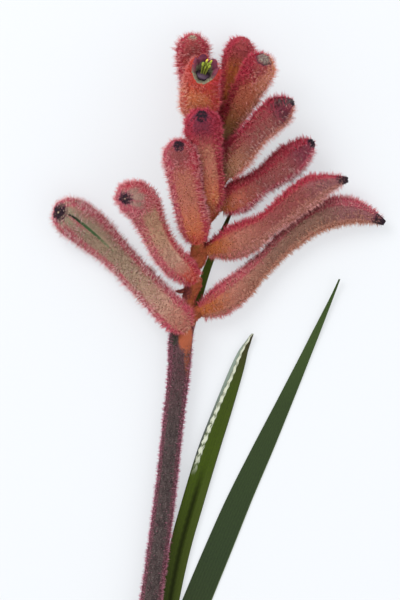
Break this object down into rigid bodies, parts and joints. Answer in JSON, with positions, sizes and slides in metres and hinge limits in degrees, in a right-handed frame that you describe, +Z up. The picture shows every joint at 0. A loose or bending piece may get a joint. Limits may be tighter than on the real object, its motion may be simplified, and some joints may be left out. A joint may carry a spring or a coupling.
{
  "type": "kangaroo paw flower stalk",
  "caption": "Picked kangaroo paw stalk lying flat: hairy stem with two rows of furry tube flowers spread like a paw, and long sword leaves clasping its foot.",
  "frame": {"origin": "middle of the footprint on the surface the stalk lies on", "axes": "+Y from the cut foot to the flowers, +Z up from the surface, +X to the side of the leaves"},
  "size_m": [0.0836, 0.1918, 0.0244],
  "materials": {
    "stalk": "felted",
    "flower_left_1": "felted",
    "flower_left_2": "felted",
    "flower_left_3": "felted",
    "flower_left_4": "felted",
    "flower_left_5": "felted",
    "flower_left_6": "felted",
    "flower_right_1": "felted",
    "flower_right_2": "felted",
    "flower_right_3": "felted",
    "flower_right_4": "felted",
    "flower_right_5": "felted",
    "flower_right_6": "felted",
    "stamens": "matte",
    "leaf_broad": "satin",
    "leaf_folded": "satin",
    "leaf_narrow": "satin"
  },
  "bodies": {
    "root": {"stalk": "stalk", "flower_left_1": "flower_left_1", "flower_left_2": "flower_left_2", "flower_left_3": "flower_left_3", "flower_left_4": "flower_left_4", "flower_left_5": "flower_left_5", "flower_left_6": "flower_left_6", "flower_right_1": "flower_right_1", "flower_right_2": "flower_right_2", "flower_right_3": "flower_right_3", "flower_right_4": "flower_right_4", "flower_right_5": "flower_right_5", "flower_right_6": "flower_right_6", "stamens": "stamens", "leaf_broad": "leaf_broad", "leaf_folded": "leaf_folded", "leaf_narrow": "leaf_narrow"}
  },
  "joints": []
}
